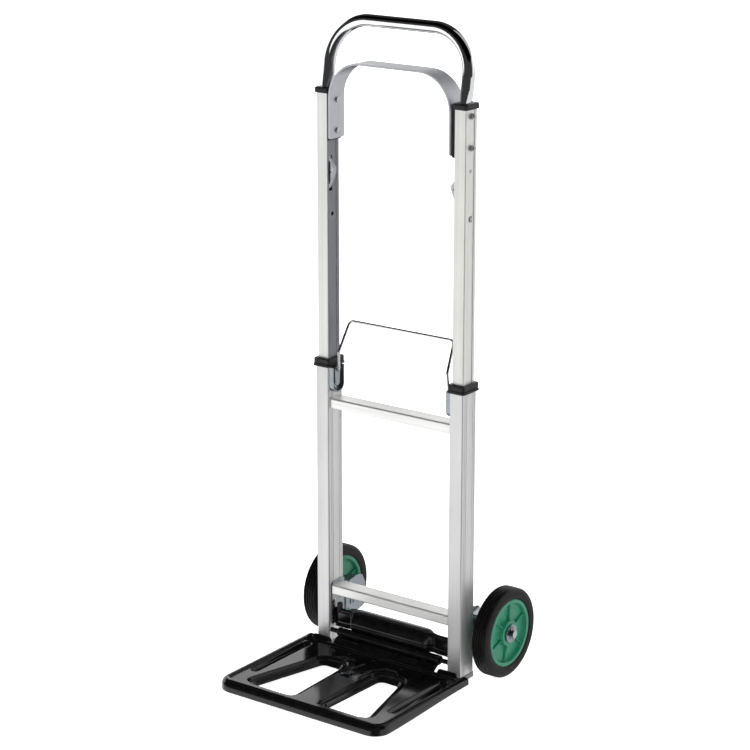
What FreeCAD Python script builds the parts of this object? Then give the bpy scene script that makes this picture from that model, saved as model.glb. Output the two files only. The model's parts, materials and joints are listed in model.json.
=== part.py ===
import FreeCAD, Part
import math
import os

# Folding two-wheel hand truck, in millimetres, +Z up, +X to the right seen from the toe plate,
# +Y to the back. The parts are drawn with y = 0 at the middle of the rails' depth, and every
# part moves back by RAIL_Y when it is written, which puts the origin under the middle of the
# whole truck's box. Paired parts are drawn on the right (+X) and mirrored for the left.

V = FreeCAD.Vector
RAIL_Y = 62.5

# Rails and rungs
RAIL_X = 132.5
OUTER_W = 26.0
OUTER_D = 38.0
INNER_W = 22.0
INNER_D = 31.0
OUTER_WALL = 1.5
INNER_WALL = 2.0
OUTER_BOTTOM = 14.0
OUTER_TOP = 498.0
INNER_BOTTOM = 430.0
INNER_TOP = 946.0
COLLAR_Z = (493.5, 497.0, 498.6, 507.0)
OUTER_FACE = RAIL_X - OUTER_W / 2
INNER_FACE = RAIL_X - INNER_W / 2
FLUTE_WIDTH = 17.0
FLUTE_DEPTH = 1.0
REED_WIDTH = 1.2
REED_DEPTH = 0.4
REED_Y = (-13.0, -8.5, 8.5, 13.0)
RUNG_DEPTH = 29.5
RUNG_HEIGHT = 17.0
RUNG_WALL = 1.5
UPPER_RUNG_TOP = 440.0
LOWER_RUNG_TOP = 114.6

# Handle and arch brace
GRIP_R = 10.0
GRIP_WALL = 1.5
LEG_RX = 8.4
LEG_RY = 11.7
LEG_END = 872.0
LEAN_Z = 951.0
LEAN = math.radians(9.0)
LEAN_START = 18.0
GRIP_TOP = 108.8
GRIP_BEND = 70.0
BRACE_WIDTH = 38.0
BRACE_THICK = 3.0
BRACE_X = 117.0
BRACE_END = 869.5
BRACE_TOP = 995.0
BRACE_BEND = 60.0
BOLT_Z = (882.0, 931.0)
BOLT_R = 2.5
BOLT_HOLE_R = 2.75

# Latch
PIVOT_Y = -5.0
PIVOT_Z = 488.0
WIRE_R = 2.25
BAIL_X = 108.6
LATCH_PIN_Y = -2.0
LATCH_PIN_Z = 466.0
LATCH_PIN_R = 3.0
LATCH_TRAVEL_Z = 280.0
NOSE_Y = (-11.0, -3.0)
NOSE_Z = (787.0, 815.0, 822.0, 838.0)
NOSE_OUT = 8.0
CATCH_RIVET_Z = 846.0
COIL_R = 3.6
COIL_WIRE_R = 0.42
SPRING_LEG_END = 91.0

# Wheel fold
HINGE_X = 121.0
HINGE_Y = 25.0
HINGE_R = 5.0
HINGE_PIN_R = 3.0
RUNNING_GAP = 0.06
PLATE_THICK = 2.0
CARRIER_THICK = 2.5
KNUCKLES = (45.0, 59.5, 60.0, 94.5, 95.0, 108.0)
BRACKET_TOP = 119.5

# Rivets through a plate and the rail's inner wall, as (y, z)
RIVET_R = 2.0
LATCH_RIVETS = [(8.0, 486.0), (-3.0, 456.5)]
BRACKET_RIVETS = [(-8.0, 86.0), (9.0, 86.0), (12.0, 56.0)]

# Wheels
WHEEL_R = 75.0
AXLE_Y = 66.0
AXLE_Z = WHEEL_R
WHEEL_IN = 157.5
WHEEL_OUT = 186.5
AXLE_R = 6.0
AXLE_END = 195.0
RIM_R = 56.2
BUSH_R = 9.0

# Toe plate and its hinge rod
TOE_X = 164.0
TOE_FRONT = -266.0
TOE_REAR = -28.0
TOE_TOP = 21.5
SHEET = 2.0
EDGE_ROLL = 7.0
LIP_LOW = 4.0
POCKET_MARGIN = 16.0
POCKET_DEPTH = 12.5
GROOVE_DEPTH = 5.0
ROD_Y = -14.0
ROD_Z = 34.0
ROD_R = 4.0
EYE_R = 6.5
LEAF_X = 103.0

# Crossmember
PANEL_Z = (42.0, 54.0)
PANEL_BACK = 4.0
BULGE_X = 70.0
BULGE_FRONT = -24.0
BULGE_TOP = 76.0
WING_X = 90.0
WING_FRONT = -5.5
WING_Z = (38.0, 72.0)


def block(x0, x1, y0, y1, z0, z1):
    return Part.makeBox(x1 - x0, y1 - y0, z1 - z0, V(x0, y0, z0))


def rod(start, end, radius):
    return Part.makeCylinder(radius, (end - start).Length, start, end - start)


def mirrored(shape):
    return shape.mirror(V(0, 0, 0), V(1, 0, 0))


def joined(shapes):
    return shapes[0].fuse(shapes[1:]).removeSplitter()


def bend_points(before, corner, after, radius):
    """Start, middle and end of the arc that rounds a corner."""
    back = (before - corner).normalize()
    ahead = (after - corner).normalize()
    half = back.getAngle(ahead) / 2
    trim = radius / math.tan(half)
    bisector = (back + ahead).normalize()
    middle = corner + bisector * (radius / math.sin(half) - radius)
    return corner + back * trim, middle, corner + ahead * trim


def outline(corners, radii):
    """Closed wire through the corners, each rounded by its own radius."""
    count = len(corners)
    bends = []
    for i in range(count):
        bends.append(bend_points(corners[i - 1], corners[i], corners[(i + 1) % count], radii[i]))
    edges = []
    for i in range(count):
        start, middle, end = bends[i]
        following = bends[(i + 1) % count][0]
        edges.append(Part.Arc(start, middle, end).toShape())
        if (following - end).Length > 1e-6:
            edges.append(Part.LineSegment(end, following).toShape())
    return Part.Wire(edges)


def pipe(points, radii, section_radius):
    """Round bar along straight runs joined by arcs."""
    edges = []
    start = points[0]
    for i in range(1, len(points) - 1):
        first, middle, last = bend_points(points[i - 1], points[i], points[i + 1], radii[i - 1])
        edges.append(Part.LineSegment(start, first).toShape())
        edges.append(Part.Arc(first, middle, last).toShape())
        start = last
    edges.append(Part.LineSegment(start, points[-1]).toShape())
    section = Part.Wire(Part.makeCircle(section_radius, points[0], points[1] - points[0]))
    return Part.Solid(Part.Wire(edges).makePipeShell([section], True, True))


def rectangle(cx, cy, width, depth, radius, z):
    x0 = cx - width / 2
    x1 = cx + width / 2
    y0 = cy - depth / 2
    y1 = cy + depth / 2
    corners = [V(x0, y0, z), V(x1, y0, z), V(x1, y1, z), V(x0, y1, z)]
    return outline(corners, [radius] * 4)


def bar(cx, cy, width, depth, radius, z0, z1):
    return Part.Face(rectangle(cx, cy, width, depth, radius, z0)).extrude(V(0, 0, z1 - z0))


def side_plate(corners, radii, x0, x1):
    """Plate lying in a Y-Z plane, from (y, z) corners."""
    wire = outline([V(x0, y, z) for y, z in corners], radii)
    return Part.Face(wire).extrude(V(x1 - x0, 0, 0))


def turned(profile):
    """Solid of revolution about the wheel's axis, from (x, radius) points."""
    points = [V(x, AXLE_Y, AXLE_Z + r) for x, r in profile]
    face = Part.Face(Part.makePolygon(points + points[:1]))
    return face.revolve(V(0, AXLE_Y, AXLE_Z), V(1, 0, 0), 360)


def ring(x0, x1, inner, outer):
    return turned([(x0, inner), (x1, inner), (x1, outer), (x0, outer)])


def write(name, shape):
    placed = shape.copy()
    placed.translate(V(0, RAIL_Y, 0))
    placed.exportStep("parts/" + name + ".step")


def write_pair(name, shape):
    write("right_" + name, shape)
    write("left_" + name, mirrored(shape))


def outer_rail():
    tube = bar(RAIL_X, 0, OUTER_W, OUTER_D, 2.5, OUTER_BOTTOM, OUTER_TOP)
    hollow = (OUTER_W - 2 * OUTER_WALL, OUTER_D - 2 * OUTER_WALL)
    tube = tube.cut(bar(RAIL_X, 0, hollow[0], hollow[1], 1.0, OUTER_BOTTOM - 1, OUTER_TOP + 1))
    for y in REED_Y:
        for face in (OUTER_FACE, RAIL_X + OUTER_W / 2):
            tube = tube.cut(block(face - REED_DEPTH, face + REED_DEPTH, y - REED_WIDTH / 2,
                                  y + REED_WIDTH / 2, OUTER_BOTTOM - 1, OUTER_TOP + 1))
    for y, z, radius in wall_holes():
        tube = tube.cut(rod(V(OUTER_FACE - 1, y, z), V(OUTER_FACE + 2.5, y, z), radius))
    return tube


def wall_holes():
    """Holes in the outer rail's inner wall as (y, z, radius)."""
    holes = [(LATCH_PIN_Y, LATCH_PIN_Z, LATCH_PIN_R + 0.1), (ROD_Y, ROD_Z, ROD_R + 0.02)]
    holes += [(y, z, RIVET_R + 0.02) for y, z in BRACKET_RIVETS + LATCH_RIVETS]
    return holes


def inner_rail():
    tube = bar(RAIL_X, 0, INNER_W, INNER_D, 2.0, INNER_BOTTOM, INNER_TOP)
    hollow = (INNER_W - 2 * INNER_WALL, INNER_D - 2 * INNER_WALL)
    tube = tube.cut(bar(RAIL_X, 0, hollow[0], hollow[1], 1.0, INNER_BOTTOM - 1, INNER_TOP + 1))
    for face in (INNER_FACE, RAIL_X + INNER_W / 2):
        tube = tube.cut(block(face - FLUTE_DEPTH, face + FLUTE_DEPTH, -FLUTE_WIDTH / 2,
                              FLUTE_WIDTH / 2, INNER_BOTTOM - 1, INNER_TOP + 1))
    for z in (LATCH_PIN_Z, LATCH_PIN_Z + LATCH_TRAVEL_Z):
        tube = tube.cut(rod(V(INNER_FACE, LATCH_PIN_Y, z), V(INNER_FACE + 4, LATCH_PIN_Y, z),
                            LATCH_PIN_R + 0.3))
    for z in BOLT_Z:
        tube = tube.cut(rod(V(INNER_FACE - 1, 0, z), V(RAIL_X + 13, 0, z), BOLT_HOLE_R))
    outer_side = RAIL_X + INNER_W / 2
    tube = tube.cut(block(INNER_FACE - 1, INNER_FACE + 3, NOSE_Y[0] - 1, NOSE_Y[1] + 1,
                          NOSE_Z[0] - 3, NOSE_Z[3] + 3))
    tube = tube.cut(block(outer_side - 3, outer_side + 1, -4, 4, 766, 776))
    return tube.cut(rod(V(outer_side - 3, 0, CATCH_RIVET_Z),
                        V(outer_side + 1, 0, CATCH_RIVET_Z), 1.55))


def glide():
    """Plastic foot that guides the inner rail's lower end inside the outer rail."""
    pad = bar(RAIL_X, 0, 22.4, 34.4, 2.0, INNER_BOTTOM - 12, INNER_BOTTOM)
    plug = bar(RAIL_X, 0, 17.8, 26.8, 1.0, INNER_BOTTOM, INNER_BOTTOM + 15)
    return pad.fuse(plug)


def rung(top, half_length):
    """Box tube between the rails, with rounded long edges."""
    y0 = -RUNG_DEPTH / 2
    y1 = RUNG_DEPTH / 2
    z0 = top - RUNG_HEIGHT
    shell = side_plate([(y0, z0), (y1, z0), (y1, top), (y0, top)], [2.5] * 4,
                       -half_length, half_length)
    w = RUNG_WALL
    hollow = [(y0 + w, z0 + w), (y1 - w, z0 + w), (y1 - w, top - w), (y0 + w, top - w)]
    return shell.cut(side_plate(hollow, [1.0] * 4, -half_length - 1, half_length + 1))


def foot_cap():
    cap = bar(RAIL_X, 0, 28.5, 40.5, 4.0, 5, OUTER_BOTTOM)
    rim = [edge for edge in cap.Edges if edge.BoundBox.ZMax < 5.01]
    cap = cap.makeFillet(1.5, rim)
    groove = bar(RAIL_X, 0, 32, 44, 4.0, 9.2, 10.4).cut(bar(RAIL_X, 0, 27, 39, 3.5, 9, 11))
    plug = bar(RAIL_X, 0, 22.8, 34.8, 1.0, OUTER_BOTTOM, 24)
    return cap.cut(groove).fuse(plug)


def lower_collar():
    """Cap on the outer rail: wide bottom lip, waist and top lip, guiding the inner rail."""
    low, waist, lip, top = COLLAR_Z
    collar = joined([bar(RAIL_X, 0, OUTER_W + 8, OUTER_D + 8, 5.0, low, waist),
                     bar(RAIL_X, 0, OUTER_W + 4, OUTER_D + 4, 4.0, waist, lip),
                     bar(RAIL_X, 0, OUTER_W + 6, OUTER_D + 6, 4.5, lip, top)])
    crown = [edge for edge in collar.Edges if edge.BoundBox.ZMin > top - 0.1]
    collar = collar.makeFillet(1.8, crown)
    collar = collar.cut(bar(RAIL_X, 0, OUTER_W, OUTER_D, 2.5, low - 1, OUTER_TOP))
    return collar.cut(bar(RAIL_X, 0, INNER_W + 0.6, INNER_D + 0.6, 2.3, low - 1, top + 1))


def top_collar():
    """Cap on the inner rail round the handle's leg, with a skirt down the inner side."""
    low = INNER_TOP - 4
    cap = bar(RAIL_X, 0, INNER_W + 6, INNER_D + 6, 5.0, low, LEAN_Z)
    top = [edge for edge in cap.Edges if edge.BoundBox.ZMin > LEAN_Z - 0.1]
    cap = cap.makeFillet(2.5, top)
    cap = cap.cut(bar(RAIL_X, 0, INNER_W, INNER_D, 2.0, low - 1, INNER_TOP))
    leg = Part.Face(ellipse_wire(low, LEG_RX + 0.1, LEG_RY + 0.1)).extrude(V(0, 0, 20))
    cap = cap.cut(leg)
    skirt = bar((BRACE_X + INNER_FACE) / 2, 0, INNER_FACE - BRACE_X, INNER_D, 1.5,
                BRACE_END - 2.5, low + 0.5)
    collar = cap.fuse(skirt)
    for z in BOLT_Z:
        collar = collar.cut(rod(V(110, 0, z), V(125, 0, z), BOLT_HOLE_R))
    return collar


def ellipse_wire(z, rx, ry):
    curve = Part.Ellipse(V(RAIL_X, ry, z), V(RAIL_X + rx, 0, z), V(RAIL_X, 0, z))
    return Part.Wire(curve.toShape())


def lean_point(x, distance):
    """Point of the handle's bow, which leans back from the top of the rails."""
    return V(x, distance * math.sin(LEAN), LEAN_Z + distance * math.cos(LEAN))


def handle_solid(rx, ry, radius, bottom):
    """Oval legs, round bow and the lofts between them, filled."""
    leg = Part.Face(ellipse_wire(bottom, rx, ry)).extrude(V(0, 0, LEAN_Z - bottom))
    axis = lean_point(0, 1) - lean_point(0, 0)
    circle = Part.Wire(Part.makeCircle(radius, lean_point(RAIL_X, LEAN_START), axis))
    neck = Part.makeLoft([ellipse_wire(LEAN_Z, rx, ry), circle], True)
    bow = [lean_point(RAIL_X, LEAN_START), lean_point(RAIL_X, GRIP_TOP),
           lean_point(-RAIL_X, GRIP_TOP), lean_point(-RAIL_X, LEAN_START)]
    side = leg.fuse(neck)
    return joined([side, pipe(bow, [GRIP_BEND] * 2, radius), mirrored(side)])


def chrome_handle():
    inner = handle_solid(LEG_RX - GRIP_WALL, LEG_RY - GRIP_WALL, GRIP_R - GRIP_WALL, LEG_END - 1)
    handle = handle_solid(LEG_RX, LEG_RY, GRIP_R, LEG_END).cut(inner)
    for side in (1, -1):
        for z in BOLT_Z:
            handle = handle.cut(rod(V(side * 110, 0, z), V(side * 150, 0, z), BOLT_HOLE_R))
    return handle


def arch_brace():
    """Flat strip bent into an arch between the inner rails."""
    def arch(offset):
        x = BRACE_X - offset
        low = BRACE_END - 50
        top = BRACE_TOP - offset
        bend = BRACE_BEND - offset
        corners = [V(-x, 0, low), V(x, 0, low), V(x, 0, top), V(-x, 0, top)]
        wire = outline(corners, [1, 1, bend, bend])
        wire.translate(V(0, -BRACE_WIDTH / 2, 0))
        return Part.Face(wire).extrude(V(0, BRACE_WIDTH, 0))
    strip = arch(0).cut(arch(BRACE_THICK))
    half = BRACE_WIDTH / 2
    keep = side_plate([(-half, BRACE_END), (half, BRACE_END), (half, 1100), (-half, 1100)],
                      [3, 3, 1, 1], -130, 130)
    strip = strip.common(keep)
    for z in BOLT_Z:
        strip = strip.cut(rod(V(-130, 0, z), V(130, 0, z), BOLT_HOLE_R))
    return strip


def brace_bolts():
    """Four pan-head bolts through brace, skirt, rail and handle leg."""
    solids = []
    for z in BOLT_Z:
        head_x = BRACE_X - BRACE_THICK
        head = Part.makeCylinder(4.75, 3.2, V(head_x - 3.2, 0, z), V(1, 0, 0))
        head = head.makeFillet(1.6, [head.Edges[0]] if head.Edges[0].BoundBox.XMax
                               < head_x - 3 else [head.Edges[2]])
        bolt = head.fuse(rod(V(head_x, 0, z), V(150, 0, z), BOLT_R))
        solids += [bolt, mirrored(bolt)]
    return Part.makeCompound(solids)


def brace_nuts():
    """Washer and hexagon nut on each brace bolt, on the rails' outer faces."""
    solids = []
    face = RAIL_X + INNER_W / 2
    for z in BOLT_Z:
        washer = rod(V(face, 0, z), V(face + 1, 0, z), 5.0)
        across = 4.62
        corners = []
        for i in range(6):
            angle = math.radians(60 * i + 30)
            corners.append(V(face + 1, across * math.cos(angle), z + across * math.sin(angle)))
        nut = Part.Face(Part.makePolygon(corners + corners[:1])).extrude(V(4, 0, 0))
        nut = washer.fuse(nut).cut(rod(V(face - 1, 0, z), V(face + 6, 0, z), BOLT_R + 0.05))
        solids += [nut, mirrored(nut)]
    return Part.makeCompound(solids)


def strip(points, thick, y0, y1):
    """Bent spring strip through (x, z) points."""
    pieces = []
    for (xa, za), (xb, zb) in zip(points, points[1:]):
        start = V(xa, y0, za)
        end = V(xb, y0, zb)
        along = (end - start).normalize()
        across = V(-along.z, 0, along.x) * (thick / 2)
        corners = [start + across, end + across, end - across, start - across]
        pieces.append(Part.Face(Part.makePolygon(corners + corners[:1])).extrude(V(0, y1 - y0, 0)))
    for x, z in points[1:-1]:
        pieces.append(Part.makeCylinder(thick / 2, y1 - y0, V(x, y0, z), V(0, 1, 0)))
    return joined(pieces)


def catch_spring():
    """Strip riveted to the outer wall, folded over to carry a wedge through the inner wall."""
    wall = RAIL_X + INNER_W / 2 - INNER_WALL - 0.7
    low, below, above, high = NOSE_Z
    limb = strip([(wall, 764), (wall, 856), (wall - 5, 862), (INNER_FACE + 6, 858),
                  (INNER_FACE + 3.4, high + 6), (INNER_FACE + 3.4, low + 2)],
                 1.2, NOSE_Y[0], -NOSE_Y[1])
    corners = [V(INNER_FACE + 3.4, NOSE_Y[0], low), V(INNER_FACE - NOSE_OUT, NOSE_Y[0], below),
               V(INNER_FACE - NOSE_OUT, NOSE_Y[0], above), V(INNER_FACE + 3.4, NOSE_Y[0], high)]
    nose = Part.Face(Part.makePolygon(corners + corners[:1]))
    nose = nose.extrude(V(0, NOSE_Y[1] - NOSE_Y[0], 0))
    slot = block(INNER_FACE - 5, INNER_FACE + 1, NOSE_Y[0] - 1, NOSE_Y[0] + 2, below - 0.8,
                 below + 0.8)
    slot.rotate(V(INNER_FACE - 2, 0, below), V(0, 1, 0), 50)
    tooth = block(wall, wall + 2.6, -3, 3, 768, 774)
    spring = joined([limb, nose, tooth]).cut(slot)
    return spring.cut(rod(V(wall - 2, 0, CATCH_RIVET_Z), V(wall + 2, 0, CATCH_RIVET_Z), 1.55))


def catch_rivets():
    solids = []
    face = RAIL_X + INNER_W / 2 - FLUTE_DEPTH
    z = CATCH_RIVET_Z
    rivet = joined([rod(V(face - 2.4, 0, z), V(face, 0, z), 1.5),
                    rod(V(face, 0, z), V(face + 0.9, 0, z), 2.6),
                    rod(V(face - 3.2, 0, z), V(face - 2.4, 0, z), 2.4)])
    solids += [rivet, mirrored(rivet)]
    return Part.makeCompound(solids)


def release_bail():
    """Wire bail whose two ends turn outwards and are the latch's pivots."""
    half = [V(118, PIVOT_Y, PIVOT_Z), V(BAIL_X, PIVOT_Y, PIVOT_Z), V(BAIL_X - 1.6, -7.5, 519),
            V(102.5, 17.8, 567)]
    points = half + [V(-p.x, p.y, p.z) for p in reversed(half)]
    return pipe(points, [4, 12, 8, 8, 12, 4], WIRE_R)


def latch_lever(bail):
    """Tongue keyed on the bail's end, which draws the latch pin out."""
    disc = rod(V(111.5, PIVOT_Y, PIVOT_Z), V(113.7, PIVOT_Y, PIVOT_Z), 7.0)
    tongue = side_plate([(PIVOT_Y - 7, PIVOT_Z), (PIVOT_Y + 7, PIVOT_Z), (PIVOT_Y + 5.5, 461.5),
                         (PIVOT_Y - 5.5, 461.5)], [0.5, 0.5, 5, 5], 111.5, 113.7)
    recess = rod(V(111, PIVOT_Y, PIVOT_Z), V(112.3, PIVOT_Y, PIVOT_Z), 4.6)
    return disc.fuse(tongue).removeSplitter().cut(recess).cut(bail)


def housing_outline(inset, x0, x1, top):
    y0 = -17 + inset
    y1 = 13 - inset
    radius = 13 - inset
    return side_plate([(y0, 450 + inset), (y1, 450 + inset), (y1, top), (y0, top)],
                      [radius, radius, 1, 1], x0, x1)


def latch_housing():
    """Zinc plate with a raised rim, open at the top, on the outer rail's inner face."""
    base = housing_outline(0, OUTER_FACE - 2, OUTER_FACE, COLLAR_Z[0])
    rim = housing_outline(0, 111.3, OUTER_FACE - 2, COLLAR_Z[0])
    rim = rim.cut(housing_outline(1.8, 111, OUTER_FACE - 1, 500))
    housing = base.fuse(rim)
    housing = housing.cut(rod(V(116, PIVOT_Y, PIVOT_Z), V(121, PIVOT_Y, PIVOT_Z), WIRE_R + 0.1))
    housing = housing.cut(rod(V(116, LATCH_PIN_Y, LATCH_PIN_Z), V(121, LATCH_PIN_Y, LATCH_PIN_Z),
                              LATCH_PIN_R + 0.1))
    for y, z in LATCH_RIVETS:
        housing = housing.cut(rod(V(116, y, z), V(121, y, z), RIVET_R + 0.02))
    return housing


def rivets(places, depth_inside):
    """Round-head rivets through a plate and the rail's inner wall."""
    solids = []
    head_x = OUTER_FACE - 2
    for y, z in places:
        head = Part.makeSphere(4.0, V(head_x + 2.4, y, z))
        head = head.common(block(head_x - 3, head_x, y - 5, y + 5, z - 5, z + 5))
        rivet = head.fuse(rod(V(head_x, y, z), V(OUTER_FACE + OUTER_WALL, y, z), RIVET_R))
        if depth_inside > 0:
            inside = OUTER_FACE + OUTER_WALL
            rivet = rivet.fuse(rod(V(inside, y, z), V(inside + depth_inside, y, z), 3.2))
        solids += [rivet, mirrored(rivet)]
    return Part.makeCompound(solids)


def latch_pin():
    return rod(V(116.5, LATCH_PIN_Y, LATCH_PIN_Z), V(122.0, LATCH_PIN_Y, LATCH_PIN_Z), LATCH_PIN_R)


def latch_spring():
    """Torsion coil round the bail's end, with a straight leg that reaches inwards."""
    start = V(114.5, PIVOT_Y + COIL_R, PIVOT_Z)
    points = [V(SPRING_LEG_END, start.y, start.z + 14.5), start + V(0, 0, 12.5)]
    for i in range(20):
        angle = math.radians(45 * i)
        points.append(start + V(0.125 * i, COIL_R * (math.cos(angle) - 1),
                                -COIL_R * math.sin(angle)))
    return pipe(points, [1.5] + [COIL_R - 0.4] * (len(points) - 3), COIL_WIRE_R)


def knuckle(z0, z1):
    return Part.makeCylinder(HINGE_R, z1 - z0, V(HINGE_X, HINGE_Y, z0))


def hinge_bracket():
    """Plate on the rail's inner face with the two fixed knuckles of the wheel hinge."""
    plate = side_plate([(-14, 44), (19, 44), (19, BRACKET_TOP), (-14, BRACKET_TOP)],
                       [3, 3, 3, 6], OUTER_FACE - PLATE_THICK, OUTER_FACE)
    bracket = plate
    for z0, z1 in (KNUCKLES[0:2], KNUCKLES[4:6]):
        web = block(OUTER_FACE - PLATE_THICK, OUTER_FACE, 15, HINGE_Y, z0, z1)
        bracket = joined([bracket, web, knuckle(z0, z1)])
    pin_hole = HINGE_PIN_R + 0.02
    bracket = bracket.cut(rod(V(HINGE_X, HINGE_Y, 40), V(HINGE_X, HINGE_Y, 125), pin_hole))
    for y, z in BRACKET_RIVETS:
        bracket = bracket.cut(rod(V(116, y, z), V(121, y, z), RIVET_R + 0.02))
    return bracket


def hinge_pin():
    low = KNUCKLES[0]
    high = KNUCKLES[5]
    pin = rod(V(HINGE_X, HINGE_Y, low), V(HINGE_X, HINGE_Y, high), HINGE_PIN_R)
    head = Part.makeCylinder(4.2, 2.2, V(HINGE_X, HINGE_Y, high))
    tail = Part.makeCylinder(3.8, 1.2, V(HINGE_X, HINGE_Y, low - 1.2))
    return joined([pin, head, tail])


def wheel_carrier():
    """Pressed channel that swings on the hinge and holds the stub axle."""
    x1 = HINGE_X
    x0 = HINGE_X - CARRIER_THICK
    arm = side_plate([(33, 56), (60, 47), (76, 50), (79, 62), (79, 92), (71, 107), (54, 110),
                      (33, 107)], [5, 6, 6, 4, 8, 6, 10, 4], x0, x1)
    web = block(x0, x1, HINGE_Y, 40, KNUCKLES[2], KNUCKLES[3])
    lower = block(x0, 142, 38, 74, 54.5, 57)
    upper = block(x0, 142, 36, 66, 103, 105.5)
    boss = rod(V(x0 - 1.5, AXLE_Y, AXLE_Z), V(x1 + 6, AXLE_Y, AXLE_Z), 11.0)
    carrier = joined([arm, web, lower, upper, boss, knuckle(KNUCKLES[2], KNUCKLES[3])])
    for y in (38.0, 46.0):
        rib = rod(V(x0, y, 64), V(x0, y, 98), 1.6)
        carrier = carrier.fuse(rib)
    bore = HINGE_PIN_R + RUNNING_GAP
    carrier = carrier.cut(rod(V(HINGE_X, HINGE_Y, 40), V(HINGE_X, HINGE_Y, 125), bore))
    return carrier.cut(rod(V(110, AXLE_Y, AXLE_Z), V(140, AXLE_Y, AXLE_Z), AXLE_R + 0.02))


def wheel_axle():
    """Stub axle riveted over inside the carrier, cross-drilled for the split pin."""
    axle = rod(V(117, AXLE_Y, AXLE_Z), V(AXLE_END, AXLE_Y, AXLE_Z), AXLE_R)
    head = rod(V(114.5, AXLE_Y, AXLE_Z), V(117, AXLE_Y, AXLE_Z), 8.0)
    axle = joined([axle, head])
    return axle.cut(rod(V(191.6, AXLE_Y, AXLE_Z - 8), V(191.6, AXLE_Y, AXLE_Z + 8), 1.35))


def split_pin():
    """Split pin with a round eye above the axle and a spread tail below it."""
    x = 191.6
    shank = rod(V(x, AXLE_Y, AXLE_Z - 10), V(x, AXLE_Y, AXLE_Z + 8.6), 1.3)
    eye = Part.makeTorus(2.0, 0.8, V(x, AXLE_Y, AXLE_Z + 10.4), V(1, 0, 0))
    return shank.fuse(eye)


def tyre():
    """Solid rubber tyre with rounded shoulders and four grooves round the tread."""
    shoulder = 8.0
    steps = 8
    profile = [(WHEEL_IN + 1.0, RIM_R + 0.1), (WHEEL_IN, RIM_R + 3)]
    for i in range(steps + 1):
        angle = math.radians(90 * i / steps)
        profile.append((WHEEL_IN + shoulder * (1 - math.cos(angle)),
                        WHEEL_R - shoulder * (1 - math.sin(angle))))
    middle = (WHEEL_IN + WHEEL_OUT) / 2
    for offset in (-5.4, -1.8, 1.8, 5.4):
        x = middle + offset
        profile += [(x - 0.8, WHEEL_R), (x - 0.6, WHEEL_R - 1.6), (x + 0.6, WHEEL_R - 1.6),
                    (x + 0.8, WHEEL_R)]
    for i in range(steps + 1):
        angle = math.radians(90 * (steps - i) / steps)
        profile.append((WHEEL_OUT - shoulder * (1 - math.cos(angle)),
                        WHEEL_R - shoulder * (1 - math.sin(angle))))
    profile += [(WHEEL_OUT, RIM_R + 3), (WHEEL_OUT - 1.0, RIM_R + 0.1)]
    return turned(profile)


def wheel_hub():
    """Moulded hub: rim, dished web, boss and six ribs."""
    middle = (WHEEL_IN + WHEEL_OUT) / 2
    hub = joined([ring(WHEEL_IN + 1.2, WHEEL_OUT - 1.2, 51.0, RIM_R),
                  ring(middle - 2.5, middle + 2.5, 14.0, 52.0),
                  ring(WHEEL_IN + 0.3, WHEEL_OUT - 0.3, BUSH_R + 0.02, 21.0)])
    for i in range(6):
        rib = block(WHEEL_IN + 4, WHEEL_OUT - 4, AXLE_Y - 3, AXLE_Y + 3, AXLE_Z + 19, AXLE_Z + 52)
        rib.rotate(V(0, AXLE_Y, AXLE_Z), V(1, 0, 0), 60 * i + 30)
        hub = hub.fuse(rib)
    return hub.removeSplitter()


def toe_stamping(plate, wire, draft, depth):
    """Press a draughted pocket into the toe plate's top."""
    floor = wire.makeOffset2D(-draft)
    floor.translate(V(0, 0, -depth))
    under_wire = wire.makeOffset2D(SHEET)
    under_floor = floor.makeOffset2D(SHEET)
    under_floor.translate(V(0, 0, -SHEET))
    skin = Part.makeLoft([under_wire, under_floor], True, True)
    top_cut = wire.makeOffset2D(0.3)
    top_cut.translate(V(0, 0, 0.2))
    pocket = Part.makeLoft([top_cut, floor], True, True)
    return plate.fuse(skin).cut(pocket)


def toe_shell(x0, x1, y0, y1, radii, roll):
    """Sheet-metal tray upside down: flat top, rolled edge and short lips."""
    def tray(inset, bottom):
        corners = [V(x0 + inset, y0 + inset, bottom), V(x1 - inset, y0 + inset, bottom),
                   V(x1 - inset, y1 - inset, bottom), V(x0 + inset, y1 - inset, bottom)]
        wire = outline(corners, [max(r - inset, 0.5) for r in radii])
        solid = Part.Face(wire).extrude(V(0, 0, TOE_TOP - inset - bottom))
        rim = [edge for edge in solid.Edges if edge.BoundBox.ZMin > TOE_TOP - inset - 0.01]
        return solid.makeFillet(roll - inset, rim)
    return tray(0, LIP_LOW), tray(SHEET, LIP_LOW - 1)


def toe_window():
    corners = [V(36, -231, TOE_TOP), V(111, -231, TOE_TOP), V(76, -94, TOE_TOP),
               V(40, -94, TOE_TOP)]
    return outline(corners, [9, 8, 9, 9])


def toe_leaf():
    """Folded leaf that rises from the toe plate's back edge and wraps the hinge rod."""
    low = ROD_Z - EYE_R
    corners = [(-42, TOE_TOP - SHEET), (-33, TOE_TOP - SHEET), (ROD_Y - 8.5, low), (ROD_Y, low),
               (ROD_Y, low + SHEET), (ROD_Y - 9.2, low + SHEET), (-33.7, TOE_TOP), (-42, TOE_TOP)]
    leaf = side_plate(corners, [0.4, 3, 3, 0.4, 0.4, 1.5, 4, 0.4], -LEAF_X, LEAF_X)
    eye = rod(V(-LEAF_X, ROD_Y, ROD_Z), V(LEAF_X, ROD_Y, ROD_Z), EYE_R)
    bore = rod(V(-LEAF_X - 1, ROD_Y, ROD_Z), V(LEAF_X + 1, ROD_Y, ROD_Z), ROD_R + 0.1)
    return joined([leaf, eye]).cut(bore)


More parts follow.
